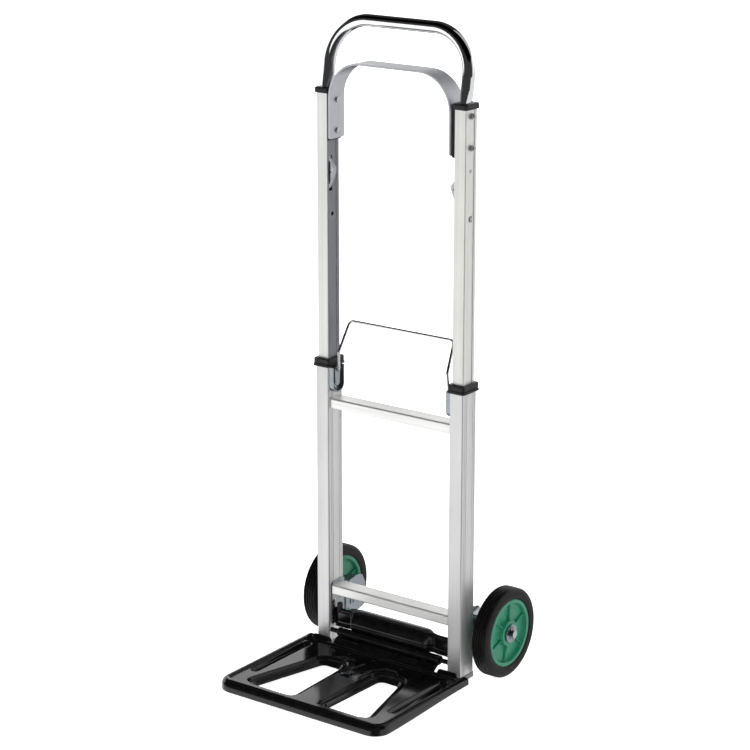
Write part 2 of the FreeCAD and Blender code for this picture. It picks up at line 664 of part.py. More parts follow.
def toe_plate():
    outer, inner = toe_shell(-TOE_X, TOE_X, TOE_FRONT, TOE_REAR, [22, 22, 18, 18], EDGE_ROLL)
    ear_outer, ear_inner = toe_shell(148.2, TOE_X, -60, -16, [5.3] * 4, 5.0)
    outer = joined([outer, ear_outer, mirrored(ear_outer)])
    inner = joined([inner, ear_inner, mirrored(ear_inner)])
    plate = outer.cut(inner)
    window = toe_window()
    pocket = window.makeOffset2D(POCKET_MARGIN)
    groove = rectangle(141, -124, 13, 138, 6.4, TOE_TOP)
    for wire, draft, depth in ((pocket, POCKET_MARGIN - 2, POCKET_DEPTH),
                               (groove, 2.5, GROOVE_DEPTH)):
        plate = toe_stamping(plate, wire, draft, depth)
        plate = toe_stamping(plate, mirrored(wire), draft, depth)
    hole = Part.Face(window).extrude(V(0, 0, 2 * POCKET_DEPTH))
    hole.translate(V(0, 0, -2 * POCKET_DEPTH))
    plate = plate.cut(hole).cut(mirrored(hole))
    rim = bar(127.5, -29.6, 39, 3, 1.2, TOE_TOP - SHEET, TOE_TOP + 5)
    return joined([plate, rim, mirrored(rim), toe_leaf()])


def crossmember():
    """Pressed box between the rails: a deep middle with tapered ends and flat wings."""
    def section(x, front, slope, top, inset):
        bottom, knee = PANEL_Z
        y0 = front + inset
        z0 = bottom + inset
        z1 = top - inset
        corners = [V(x, y0 + slope, z0), V(x, PANEL_BACK, z0), V(x, PANEL_BACK, z1), V(x, y0, z1),
                   V(x, y0, knee)]
        return outline(corners, [2, 1, 1, 7 - inset, 2])

    def loft(inset):
        ends = (WING_X, WING_FRONT, 2.0, WING_Z[1])
        middle = (BULGE_X, BULGE_FRONT, 10.0, BULGE_TOP)
        stations = []
        for side, shape in ((-1, ends), (-1, middle), (1, middle), (1, ends)):
            stations.append(section(side * shape[0], *shape[1:], inset))
        return Part.makeLoft(stations, True, True)

    box = loft(0).cut(loft(SHEET))
    box = box.cut(block(-90, 90, PANEL_BACK - 2.5, PANEL_BACK + 1, 30, 95))
    reach = OUTER_FACE - PLATE_THICK
    wing = bar((WING_X - 3 + reach) / 2, WING_FRONT + 1.5, reach - WING_X + 3, 3, 0.5, *WING_Z)
    flange = block(reach - SHEET, reach, WING_FRONT, 8, 42, WING_Z[1] - 2)
    notch = block(reach - 7, reach + 3, 3, 9, 50, 62)
    side = wing.fuse(flange).cut(notch)
    return joined([box, side, mirrored(side)])


def stop_knob(panel):
    """Rubber bumper pushed over the crossmember's top edge."""
    knob = Part.makeCylinder(5.0, 15.0, V(-109, WING_FRONT + 1.5, WING_Z[1] - 5))
    crown = [edge for edge in knob.Edges if edge.BoundBox.ZMin > WING_Z[1] + 9.9]
    return knob.makeFillet(2.5, crown).cut(panel)


os.makedirs("parts", exist_ok=True)

rung_reach = OUTER_FACE - PLATE_THICK
write_pair("outer_rail", outer_rail())
write_pair("inner_rail", inner_rail())
write_pair("glide", glide())
write_pair("foot_cap", foot_cap())
write_pair("lower_collar", lower_collar())
write_pair("top_collar", top_collar())
write("upper_rung", rung(UPPER_RUNG_TOP, OUTER_FACE))
write("lower_rung", rung(LOWER_RUNG_TOP, rung_reach))
panel = crossmember()
write("crossmember", panel)
write("stop_knob", stop_knob(panel))
write("chrome_handle", chrome_handle())
write("arch_brace", arch_brace())
write("brace_bolts", brace_bolts())
write("brace_nuts", brace_nuts())
write_pair("catch_spring", catch_spring())
write("catch_rivets", catch_rivets())
bail = release_bail()
write("release_bail", bail)
write_pair("latch_lever", latch_lever(bail))
write_pair("latch_housing", latch_housing())
write_pair("latch_pin", latch_pin())
write_pair("latch_spring", latch_spring())
write("latch_rivets", rivets(LATCH_RIVETS, 0))
write("bracket_rivets", rivets(BRACKET_RIVETS, 1.5))
write_pair("hinge_bracket", hinge_bracket())
write_pair("hinge_pin", hinge_pin())
write_pair("wheel_carrier", wheel_carrier())
write_pair("wheel_axle", wheel_axle())
write_pair("axle_spacer", ring(HINGE_X + 6, WHEEL_IN - 0.3, AXLE_R + 0.02, 10.0))
write_pair("axle_washer", ring(WHEEL_OUT + 0.3, WHEEL_OUT + 2.3, AXLE_R + 0.05, 15.0))
write_pair("split_pin", split_pin())
write_pair("tyre", tyre())
write_pair("wheel_hub", wheel_hub())
write_pair("wheel_bush", ring(WHEEL_IN, WHEEL_OUT, AXLE_R + RUNNING_GAP, BUSH_R))
write("toe_plate", toe_plate())
write("toe_hinge_rod", rod(V(-121, ROD_Y, ROD_Z), V(121, ROD_Y, ROD_Z), ROD_R))
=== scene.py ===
import json
import math

import bmesh
import bpy
import numpy as np
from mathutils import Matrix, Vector
from mathutils.geometry import delaunay_2d_cdt


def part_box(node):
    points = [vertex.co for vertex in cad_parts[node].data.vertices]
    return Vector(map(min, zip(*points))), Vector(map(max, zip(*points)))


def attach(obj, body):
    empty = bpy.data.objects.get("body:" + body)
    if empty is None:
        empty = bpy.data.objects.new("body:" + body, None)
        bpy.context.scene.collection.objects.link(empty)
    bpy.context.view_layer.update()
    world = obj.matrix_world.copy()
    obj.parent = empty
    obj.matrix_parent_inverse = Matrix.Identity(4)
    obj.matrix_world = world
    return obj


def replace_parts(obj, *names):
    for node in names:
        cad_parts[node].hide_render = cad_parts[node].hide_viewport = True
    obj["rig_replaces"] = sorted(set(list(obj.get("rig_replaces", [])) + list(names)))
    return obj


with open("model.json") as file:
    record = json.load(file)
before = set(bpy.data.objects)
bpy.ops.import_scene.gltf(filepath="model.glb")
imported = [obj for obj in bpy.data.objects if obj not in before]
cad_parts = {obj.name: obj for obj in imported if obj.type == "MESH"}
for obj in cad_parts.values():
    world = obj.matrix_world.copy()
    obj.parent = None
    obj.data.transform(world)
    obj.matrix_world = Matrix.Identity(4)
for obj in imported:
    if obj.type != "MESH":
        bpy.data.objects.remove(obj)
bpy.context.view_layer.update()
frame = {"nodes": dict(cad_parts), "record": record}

NODES = frame["nodes"]
RECORD = frame["record"]
MM = 0.001
MICRON = 0.000001
RAIL_LOW, RAIL_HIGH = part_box("right_outer_rail")
RAIL_Y = (RAIL_LOW.y + RAIL_HIGH.y) / 2


# ---------------------------------------------------------------- materials

NOISE_LOW = 0.3
NOISE_HIGH = 0.7
BEVEL_SAMPLES = 6
ALONG_X = 0
ALONG_Z = 2
TOWARDS_X = 1.0
AGAINST_X = -1.0


class Finish:
    """A material with its principled shader, and short calls that add nodes to it."""

    def __init__(self, name, color, metallic, roughness):
        self.material = bpy.data.materials.new(name)
        self.material.use_nodes = True
        self.tree = self.material.node_tree
        self.shader = self.tree.nodes["Principled BSDF"]
        self.set("Base Color", (*color, 1))
        self.set("Metallic", metallic)
        self.set("Roughness", roughness)

    def set(self, name, value):
        self.shader.inputs[name].default_value = value

    def node(self, kind, **settings):
        made = self.tree.nodes.new("ShaderNode" + kind)
        for name, value in settings.items():
            setattr(made, name, value)
        return made

    def link(self, source, target):
        self.tree.links.new(source, target)

    def place(self, scale):
        """Object coordinates times a scale, which is one number or one for each axis."""
        if isinstance(scale, float):
            scale = (scale, scale, scale)
        coordinates = self.node("TexCoord")
        mapping = self.node("Mapping")
        mapping.inputs["Scale"].default_value = scale
        self.link(coordinates.outputs["Object"], mapping.inputs["Vector"])
        return mapping.outputs["Vector"]

    def noise(self, scale, detail=3.0, rough=0.5):
        """Noise value, with features of about 1/scale metres along each axis."""
        texture = self.node("TexNoise")
        texture.inputs["Scale"].default_value = 1.0
        texture.inputs["Detail"].default_value = detail
        texture.inputs["Roughness"].default_value = rough
        self.link(self.place(scale), texture.inputs["Vector"])
        return texture.outputs["Fac"]

    def cells(self, scale):
        """Colour that is random from cell to cell, with cells of about 1/scale metres."""
        texture = self.node("TexVoronoi")
        texture.inputs["Scale"].default_value = 1.0
        self.link(self.place(scale), texture.inputs["Vector"])
        return texture.outputs["Color"]

    def spread(self, value, low=NOISE_LOW, high=NOISE_HIGH, out_low=0.0, out_high=1.0):
        """Maps a value's range low..high onto out_low..out_high."""
        mapped = self.node("MapRange")
        for name, number in (("From Min", low), ("From Max", high),
                             ("To Min", out_low), ("To Max", out_high)):
            mapped.inputs[name].default_value = number
        self.link(value, mapped.inputs["Value"])
        return mapped.outputs["Result"]

    def vary_color(self, value, first, second):
        """Base colour that goes from the first to the second as a value goes from 0 to 1."""
        mix = self.node("Mix", data_type="RGBA")
        mix.inputs["A"].default_value = (*first, 1)
        mix.inputs["B"].default_value = (*second, 1)
        self.link(value, mix.inputs["Factor"])
        self.link(mix.outputs["Result"], self.shader.inputs["Base Color"])
        return mix.outputs["Result"]

    def vary_roughness(self, value, low, high):
        """Roughness that goes from low to high over a noise value's usual range."""
        spread = self.spread(value, out_low=low, out_high=high)
        self.link(spread, self.shader.inputs["Roughness"])

    def relief(self, layers, edge=0.0):
        """Bump layers of (value, height in metres) over an optional rounding of the edges."""
        normal = None
        if edge:
            rounded = self.node("Bevel", samples=BEVEL_SAMPLES)
            rounded.inputs["Radius"].default_value = edge
            normal = rounded.outputs["Normal"]
        for value, height in layers:
            bump = self.node("Bump")
            bump.inputs["Strength"].default_value = 1.0
            bump.inputs["Distance"].default_value = height
            self.link(value, bump.inputs["Height"])
            if normal:
                self.link(normal, bump.inputs["Normal"])
            normal = bump.outputs["Normal"]
        self.link(normal, self.shader.inputs["Normal"])


def shaded(color, factor):
    """A colour with each channel times a factor."""
    return tuple(channel * factor for channel in color)


def drawn(scale, stretched, along):
    """Noise scale for lines that run along one axis."""
    scales = [scale, scale, scale]
    scales[along] = stretched
    return scales


def aluminium(name, color, along, inward=0.0):
    """Satin extrusion: fine drawing lines along one axis and a slow cloudy tone.

    A rail's face towards the middle of the truck, on the side given by inward, is darkened
    with painted shade.
    """
    finish = Finish(name, color, metallic=0.85, roughness=0.42)
    lines = finish.noise(drawn(1400.0, 6.0, along), detail=2.0)
    bands = finish.noise(drawn(220.0, 3.0, along), detail=2.0)
    cloud = finish.noise(9.0)
    tone = finish.vary_color(finish.spread(bands), color, shaded(color, 0.9))
    # Painted shade: a face whose normal points towards the middle of the truck takes a darker tone.
    if inward:
        split = finish.node("SeparateXYZ")
        finish.link(finish.node("TexCoord").outputs["Normal"], split.inputs["Vector"])
        painted_shade = finish.node("Mix", data_type="RGBA")
        painted_shade.inputs["B"].default_value = (*PAINTED_SHADE_TONE, 1)
        facing = finish.spread(split.outputs["X"], PAINTED_SHADE_FROM * inward, PAINTED_SHADE_TO * inward)
        finish.link(facing, painted_shade.inputs["Factor"])
        finish.link(tone, painted_shade.inputs["A"])
        finish.link(painted_shade.outputs["Result"], finish.shader.inputs["Base Color"])
    finish.vary_roughness(cloud, 0.36, 0.46)
    finish.relief([(lines, 20 * MICRON), (bands, 30 * MICRON)], edge=0.6 * MM)
    return finish.material


def chrome():
    """Bright plate with a faint waviness and a little haze."""
    finish = Finish("chrome_plate", (0.88, 0.885, 0.9), metallic=1.0, roughness=0.05)
    haze = finish.noise(60.0, detail=4.0)
    waves = finish.noise(25.0, detail=1.0)
    finish.vary_roughness(haze, 0.03, 0.08)
    finish.relief([(waves, 80 * MICRON)])
    return finish.material


def moulded(name, color, roughness, grain, edge=0.5 * MM, gloss=0.5):
    """Moulded plastic or rubber with a fine spark-eroded grain."""
    finish = Finish(name, color, metallic=0.0, roughness=roughness)
    finish.set("Specular IOR Level", gloss)
    skin = finish.noise(grain, detail=4.0, rough=0.6)
    cloud = finish.noise(35.0)
    finish.vary_color(finish.spread(cloud), color, shaded(color, 1.35))
    finish.vary_roughness(skin, roughness - 0.06, roughness + 0.1)
    finish.relief([(skin, 60 * MICRON)], edge=edge)
    return finish.material


def black_enamel():
    """Thick gloss black enamel with orange peel and a few dull patches."""
    finish = Finish("black_enamel", (0.006, 0.006, 0.0065), metallic=0.0, roughness=0.16)
    peel = finish.noise(420.0, detail=2.0)
    waves = finish.noise(55.0, detail=2.0)
    patches = finish.noise(18.0, detail=4.0)
    finish.vary_color(finish.spread(waves, 0.35, 0.65),
                      (0.0025, 0.0025, 0.0028), (0.004, 0.004, 0.0045))
    finish.vary_roughness(patches, 0.08, 0.16)
    finish.relief([(waves, 100 * MICRON), (peel, 25 * MICRON)], edge=0.8 * MM)
    return finish.material


def zinc(name, color):
    """Bright zinc: a bluish cast with spangle in the tone and in the gloss."""
    finish = Finish(name, color, metallic=1.0, roughness=0.3)
    spangle = finish.node("SeparateColor")
    finish.link(finish.cells(330.0), spangle.inputs["Color"])
    shade = spangle.outputs["Red"]
    skin = finish.noise(500.0)
    finish.vary_color(shade, color, shaded(color, 1.18))
    finish.vary_roughness(shade, 0.22, 0.4)
    finish.relief([(skin, 30 * MICRON)], edge=0.6 * MM)
    return finish.material


def steel(name, color, roughness):
    """Plated steel with fine turning marks."""
    finish = Finish(name, color, metallic=1.0, roughness=roughness)
    marks = finish.noise(900.0)
    cloud = finish.noise(120.0)
    finish.vary_color(marks, color, shaded(color, 0.82))
    finish.vary_roughness(cloud, roughness - 0.08, roughness + 0.1)
    finish.relief([(marks, 30 * MICRON)], edge=0.3 * MM)
    return finish.material


def green_plastic():
    """Semi-gloss green moulding with a slow cloudy tone."""
    finish = Finish("green_moulding", (0.01, 0.16, 0.082), metallic=0.0, roughness=0.34)
    cloud = finish.noise(28.0)
    skin = finish.noise(900.0)
    finish.vary_color(finish.spread(cloud), (0.007, 0.12, 0.066), (0.011, 0.15, 0.084))
    finish.vary_roughness(cloud, 0.28, 0.4)
    finish.relief([(skin, 30 * MICRON)], edge=0.6 * MM)
    return finish.material


INNER_RAIL_TONE = (0.73, 0.73, 0.71)
OUTER_RAIL_TONE = (0.68, 0.68, 0.68)
RUNG_TONE = (0.86, 0.86, 0.845)
STRIP_TONE = (0.48, 0.49, 0.52)
# Painted shade on the inner rails' faces towards the middle of the truck: its tone, and the span of
# the normal's x over which it comes in.
PAINTED_SHADE_TONE = (0.2, 0.205, 0.22)
PAINTED_SHADE_FROM = 0.6
PAINTED_SHADE_TO = 0.9

# A finish goes by the name of a CAD node, of a kind of CAD node, or of a slot in the record.
FINISHES = {
    # The inner rails carry painted shade on their faces towards the middle of the truck.
    "left_inner_rail": aluminium("left_rail_satin_painted_shade", INNER_RAIL_TONE, ALONG_Z, TOWARDS_X),
    "right_inner_rail": aluminium("right_rail_satin_painted_shade", INNER_RAIL_TONE, ALONG_Z, AGAINST_X),
    "outer_aluminium": aluminium("outer_rail_satin", OUTER_RAIL_TONE, ALONG_Z),
    "rung_aluminium": aluminium("rung_satin", RUNG_TONE, ALONG_X),
    "strip_aluminium": aluminium("strip_satin", STRIP_TONE, ALONG_Z),
    "chrome": chrome(),
    "black_plastic": moulded("black_moulding", (0.006, 0.006, 0.0065), 0.36, 1600.0, gloss=0.3),
    "grey_plastic": moulded("grey_moulding", (0.16, 0.16, 0.165), 0.45, 1500.0),
    "black_paint": black_enamel(),
    "zinc_plate": zinc("zinc_plate", (0.33, 0.355, 0.385)),
    "bright_steel": steel("bright_steel", (0.64, 0.65, 0.67), 0.24),
    "spring_steel": steel("spring_steel", (0.5, 0.51, 0.54), 0.3),
    "green_plastic": green_plastic(),
    "tyre_rubber": moulded("tread_rubber", (0.003, 0.0025, 0.003), 0.4, 1200.0, edge=0.0,
                           gloss=0.22),
    "tyre_side": moulded("sidewall_rubber", (0.005, 0.0045, 0.005), 0.5, 1400.0, edge=0.0,
                         gloss=0.2),
    "nylon": moulded("nylon", (0.62, 0.61, 0.56), 0.4, 1300.0),
    "black_rubber": moulded("bumper_rubber", (0.01, 0.01, 0.01), 0.5, 1400.0),
}


def dress_frame():
    """Gives every CAD node its finish: its own, its kind's or its record slot's."""
    slots = {part["node"]: part["material_slot"] for part in RECORD["subparts"]}
    for name, node in NODES.items():
        if name.endswith("_rung"):
            finish = FINISHES["rung_aluminium"]
        elif name.endswith("outer_rail"):
            finish = FINISHES["outer_aluminium"]
        else:
            finish = FINISHES.get(name) or FINISHES[slots[name]]
        node.data.materials.clear()
        node.data.materials.append(finish)


# ---------------------------------------------------------------- mesh tools

WELD = 0.02 * MM
CORNER_STEP = 9.0
CORNER_PIECES = 3
FLAT_RISE = 1e-9
POINT_LENGTH = 1e-12


def smooth_step(value):
    """Eases from 0 to 1 as a value goes from 0 to 1, and stays there outside."""
    t = np.clip(value, 0.0, 1.0)
    return t * t * (3 - 2 * t)


def smooth_mesh(name, points, faces):
    """Smooth-shaded mesh with its coincident points welded."""
    mesh = bpy.data.meshes.new(name)
    mesh.from_pydata(points, [], faces)
    mesh.validate()
    made = bmesh.new()
    made.from_mesh(mesh)
    bmesh.ops.remove_doubles(made, verts=made.verts, dist=WELD)
    made.to_mesh(mesh)
    made.free()
    for polygon in mesh.polygons:
        polygon.use_smooth = True
    return mesh


def make_piece(name, shape, body, node, slot, thick=0.0, crease=35.0, even=True):
    """Piece from a shape in millimetres in the rails' frame, riding on a body for a CAD node.

    A shape is its points and its faces. With thick, a sheet grows inwards from it.
    """
    points, faces = shape
    placed = [(x * MM, y * MM + RAIL_Y, z * MM) for x, y, z in points]
    mesh = smooth_mesh(name, placed, faces)
    mesh.materials.append(FINISHES[slot])
    mesh.set_sharp_from_angle(angle=math.radians(crease))
    piece = bpy.data.objects.new(name, mesh)
    bpy.context.scene.collection.objects.link(piece)
    if thick:
        sheet = piece.modifiers.new("sheet", "SOLIDIFY")
        sheet.thickness = thick * MM
        sheet.offset = -1.0
        sheet.use_even_offset = even
        sheet.thickness_clamp = 1.0
    weighted = piece.modifiers.new("normals", "WEIGHTED_NORMAL")
    weighted.keep_sharp = True
    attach(piece, body)
    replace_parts(piece, node)
    return piece


def loft(rings, closed):
    """Points, and quads between rings of equal length, each ring a list of points."""
    count = len(rings[0])
    points = [tuple(point) for ring in rings for point in ring]
    faces = []
    span = count if closed else count - 1
    for i in range(len(rings) - 1):
        near = i * count
        far = near + count
        for j in range(span):
            k = (j + 1) % count
            faces.append((near + j, near + k, far + k, far + j))
    return points, faces


def flipped(faces):
    return [tuple(reversed(face)) for face in faces]


def rounded_outline(corners, step):
    """Points and outward normals round a closed outline of (x, y, radius), anticlockwise."""
    places = []
    normals = []
    arcs = []
    count = len(corners)
    for i in range(count):
        radius = corners[i][2]
        here = Vector(corners[i][:2])
        back = (Vector(corners[i - 1][:2]) - here).normalized()
        ahead = (Vector(corners[(i + 1) % count][:2]) - here).normalized()
        turn = math.pi - back.angle(ahead)
        side = 1 if back.x * ahead.y - back.y * ahead.x < 0 else -1
        trim = radius * math.tan(turn / 2)
        first = Vector((-back.y, back.x)) * side
        arcs.append((here + back * trim, here + ahead * trim, first, turn * side, radius))
    for i in range(count):
        start, end, first, turn, radius = arcs[i]
        centre = start - first * radius
        pieces = max(CORNER_PIECES, math.ceil(abs(turn) / math.radians(CORNER_STEP)))
        for k in range(pieces + 1):
            angle = turn * k / pieces
            spoke = Vector((first.x * math.cos(angle) - first.y * math.sin(angle),
                            first.x * math.sin(angle) + first.y * math.cos(angle)))
            places.append(centre + spoke * radius)
            normals.append(spoke if turn > 0 else -spoke)
        run = arcs[(i + 1) % count][0] - end
        inner = max(1, int(run.length / step))
        across = Vector((run.y, -run.x)).normalized()
        for k in range(1, inner):
            places.append(end + run * (k / inner))
            normals.append(across)
    return np.array([tuple(p) for p in places]), np.array([tuple(n) for n in normals])


def inside(points, loop):
    """Whether each point lies inside a closed loop."""
    x, y = points[:, 0][:, None], points[:, 1][:, None]
    x0, y0 = loop[:, 0][None], loop[:, 1][None]
    x1, y1 = np.roll(loop[:, 0], -1)[None], np.roll(loop[:, 1], -1)[None]
    crosses = ((y0 > y) != (y1 > y))
    rise = np.where(y1 == y0, FLAT_RISE, y1 - y0)
    return (crosses & (x < (x1 - x0) * (y - y0) / rise + x0)).sum(1) % 2 == 1


def nearest(points, path, closed):
    """Distance from each point to a path, and the index of the nearest stretch."""
    ends = np.roll(path, -1, 0) if closed else path[1:]
    starts = path if closed else path[:-1]
    along = ends - starts
    length = np.maximum((along ** 2).sum(1), POINT_LENGTH)
    gap = points[:, None] - starts[None]
    t = np.clip((gap * along[None]).sum(2) / length[None], 0, 1)
    distance = np.linalg.norm(gap - t[..., None] * along[None], axis=2)
    index = distance.argmin(1)
    return distance[np.arange(len(points)), index], index


def bent_path(corners, trims, steps=5, runs=2):
    """Open path through corners, each rounded by a short curve that starts a trim before it."""
    path = [np.array(corners[0], float)]
    for i, trim in enumerate(trims, 1):
        here = np.array(corners[i], float)
        back = np.array(corners[i - 1], float) - here
        ahead = np.array(corners[i + 1], float) - here
        start = here + back / np.linalg.norm(back) * trim
        end = here + ahead / np.linalg.norm(ahead) * trim
        for k in range(1, runs):
            path.append(path[-1] + (start - path[-1]) * (1 / (runs - k + 1)))
        for k in range(steps + 1):
            t = k / steps
            path.append(start * (1 - t) ** 2 + here * 2 * t * (1 - t) + end * t ** 2)
    path.append(np.array(corners[-1], float))
    return path


# ---------------------------------------------------------------- toe plate
# Millimetres in the rails' frame. Negative y is towards the front of the truck.

TOE_X = 164.0
TOE_FRONT = -266.0
TOE_REAR = -28.0
TOE_TOP = 21.5
FRONT_CORNER = 27.0
REAR_CORNER = 18.0
EAR_IN = 148.2
EAR_REAR = -16.0
EAR_CORNER = 7.35
EAR_FOOT = 3
EDGE_STEP = 4.0

# The lip round the plate: its lower edge, its rolled top and the levels of its wall.
LIP_LOW = 4.0
LIP_REAR = 9.0
LIP_LEVEL = 30
LIP_CLIMB = 200
WALL_LEVELS = (0.0, 0.33, 0.67)
SIDE_ROLL = 8.0
FRONT_ROLL = 12.0
ROLL_STEP = 10

# The pan inside the rim, by how far in its edge starts and ends.
PAN_DROP = 3.0
PAN_EDGE = (9.5, 14.5)
PAN_RINGS = (9.5, 10.5, 11.5, 12.5, 13.5, 14.5)
RING_STEP = 8.0

# A window, as (x, y, radius), and the beaded lip round it, as (part of the width, rise).
WINDOW = ((35, -232, 8), (112, -232, 7), (76, -93, 9), (40, -93, 9))
WINDOW_EDGE_Z = 8.0
LIP_WIDTH = 16.0
LIP_WIDTH_FRONT = 11.0
LIP_STEPS = (0.0, 0.06, 0.14, 0.22, 0.3, 0.36, 0.42, 0.48, 0.54, 0.6, 0.7, 0.8, 0.86, 0.9,
             0.94, 0.97, 1.0, 1.06, 1.14)
LIP_SHAPE = ((0.0, 0.0), (0.12, 0.8), (0.36, 6.6), (0.44, 7.3), (0.5, 7.0), (0.58, 4.6),
             (0.64, 4.2), (0.82, 4.4), (0.88, 5.4), (0.96, 10.0), (1.0, 10.5))
PLAIN_LIP = ((0.0, 0.0), (0.12, 0.8), (0.5, 7.4), (1.0, 10.5))
PLAIN_FROM = 0.44
FRONT_FACING = (0.5, 0.45)
REAR_FACING = (0.6, 0.35)
REAR_PLAIN = 0.7

# A long groove, as x and the y of the middles of its two round ends.
PILL = (138.5, -193.0, -59.0)
PILL_HALF = 9.5
PILL_SLOPE = 4.5
PILL_DEPTH = 6.0
PILL_RINGS = (3.0, 4.8, 5.8, 6.8, 7.8, 8.8, 9.6, 10.6)
PILL_ROUND = 0.98

# Stamped beads, as (path, half of the width, rise), bosses, as (x, y, half, half), and studs.
BEADS = ((((14, -104), (17, -84), (30, -66), (54, -66), (70, -80)), 3.2, 1.5),
         (((22, -124), (8, -70)), 3.0, 1.6))
BEAD_LINES = (-3.2, -1.8, 0.0, 1.8, 3.2)
BEAD_STEP = 4
BOSSES = ((-42.0, -82.0, 8.0, 5.0), (-7.0, -122.0, 7.5, 5.5))
BOSS_RISE = 3.2
BOSS_SLOPE = 1.6
BOSS_RINGS = (-1.2, -0.4, 0.4, 1.2)
STUDS = ((-5.0, -49.5), (53.0, -51.6), (-53.0, -51.6))
STUD_RISE = 1.3
STUD_TOP = 1.6
STUD_SLOPE = 2.2
STUD_RINGS = (1.2, 2.4, 3.6)
STUD_TURNS = 12

GRID_STEP = 7.5
GRID_X = (-150, 151)
GRID_Y = (-250, -30)
CDT_GAP = 1e-4
ON_BORDER = 1e-3
MIRROR = np.array([-1.0, 1.0])

# The leaf, as (y, z) up to where it curls round the rod, and its stations along x.
ROD_Y = -14.0
ROD_Z = 34.0
LEAF_R = 6.4
LEAF_LOW = ROD_Z - LEAF_R
LEAF_FOOT = ((-46, 16.6), (-36, 17.6), (-22.5, LEAF_LOW), (ROD_Y - 1, LEAF_LOW))
LEAF_TRIMS = (3.0, 4.0)
LEAF_CURL = (-90, 226, 15)
LEAF_STATIONS = (-103.0, -102.0, -70.0, -35.0, 0.0, 35.0, 70.0, 102.0, 103.0)

# An upstand, with its section over the top as (y from its middle, distance below its top).
RIM_X = 127.5
RIM_Y = -29.6
RIM_HALF = 19.0
RIM_STATIONS = 21
RIM_RISE = 5.0
RIM_LEAST = 0.5
RIM_ROUND = 8
RIM_SINK = 3
RIM_SECTION = ((-1.6, 1.2), (-0.8, 0.3), (0.0, 0.0), (0.8, 0.3), (1.6, 1.2))


def toe_edge():
    """Plate's outline, with an ear beside each rail."""
    return rounded_outline((
        (-TOE_X, TOE_FRONT, FRONT_CORNER), (TOE_X, TOE_FRONT, FRONT_CORNER),
        (TOE_X, EAR_REAR, EAR_CORNER), (EAR_IN, EAR_REAR, EAR_CORNER),
        (EAR_IN, TOE_REAR, EAR_FOOT), (-EAR_IN, TOE_REAR, EAR_FOOT),
        (-EAR_IN, EAR_REAR, EAR_CORNER), (-TOE_X, EAR_REAR, EAR_CORNER)), EDGE_STEP)


def rim_distance(points):
    """How far each point is inside the plate's rounded rectangle."""
    middle = np.array([0.0, (TOE_FRONT + TOE_REAR) / 2])
    half = np.array([TOE_X, (TOE_REAR - TOE_FRONT) / 2])
    radius = np.where(points[:, 1] < middle[1], FRONT_CORNER, REAR_CORNER)
    q = np.abs(points - middle) - half + radius[:, None]
    outside = np.linalg.norm(np.maximum(q, 0), axis=1)
    return -(outside + np.minimum(q.max(1), 0) - radius)


def capsule(points, x, y0, y1):
    """Distance from each point to the nearer of two mirrored grooves' middle lines."""
    gap = np.maximum(np.maximum(y0 - points[:, 1], points[:, 1] - y1), 0)
    return np.hypot(np.abs(points[:, 0]) - x, gap)


def window_lip(facing):
    """How much each stretch of a window's edge faces the front, and its lip's width."""
    start, span = FRONT_FACING
    front = smooth_step((-facing[:, 1] - start) / span)
    return front, LIP_WIDTH + (LIP_WIDTH_FRONT - LIP_WIDTH) * front


def toe_height(points, window, normals):
    """Height of the plate's top face at points in its plan."""
    pan = TOE_TOP - PAN_DROP * smooth_step((rim_distance(points) - PAN_EDGE[0])
                                           / (PAN_EDGE[1] - PAN_EDGE[0]))
    z = pan - PILL_DEPTH * smooth_step((PILL_HALF - capsule(points, *PILL)) / PILL_SLOPE)
    folded = np.abs(points) * np.array([1.0, -1.0])
    for path, width, rise in BEADS:
        away, _ = nearest(folded, np.array(path, float), False)
        z += rise * smooth_step(1 - away / width)
    for x, y, half_x, half_y in BOSSES:
        near = np.minimum(half_x - np.abs(points[:, 0] - x), half_y - np.abs(points[:, 1] - y))
        z += BOSS_RISE * smooth_step(near / BOSS_SLOPE + 0.5)
    for x, y in STUDS:
        away = np.hypot(points[:, 0] - x, points[:, 1] - y)
        z += STUD_RISE * smooth_step(STUD_TOP - away / STUD_SLOPE)
    away, index = nearest(folded, window, True)
    facing = normals[index]
    front, width = window_lip(facing)
    t = away / width
    lip = np.interp(t, *np.array(LIP_SHAPE).T)
    plain = np.interp(t, *np.array(PLAIN_LIP).T)
    start, span = REAR_FACING
    shallow = np.maximum(front, smooth_step((facing[:, 1] - start) / span) * REAR_PLAIN)
    lip = lip + (plain - lip) * shallow * (t > PLAIN_FROM)
    return np.where(t < 1.0, WINDOW_EDGE_Z + (pan - WINDOW_EDGE_Z) * lip / LIP_SHAPE[-1][1], z)


def toe_wall(edge, outward):
    """Plate's lip and rolled edge, and the line where the roll meets the flat top."""
    roll = SIDE_ROLL + (FRONT_ROLL - SIDE_ROLL) * np.maximum(0, -outward[:, 1]) ** 2
    climb = smooth_step((edge[:, 1] - TOE_FRONT - LIP_LEVEL) / LIP_CLIMB)
    low = LIP_LOW + (LIP_REAR - LIP_LOW) * climb
    rings = []
    for level in WALL_LEVELS:
        rings.append(np.column_stack([edge, low + level * (TOE_TOP - roll - low)]))
    for degrees in range(0, 90, ROLL_STEP):
        angle = math.radians(degrees)
        moved = edge - outward * (roll * (1 - math.cos(angle)))[:, None]
        rings.append(np.column_stack([moved, TOE_TOP - roll + roll * math.sin(angle)]))
    border = edge - outward * roll[:, None]
    rings.append(np.column_stack([border, np.full(len(border), TOE_TOP)]))
    return rings, border


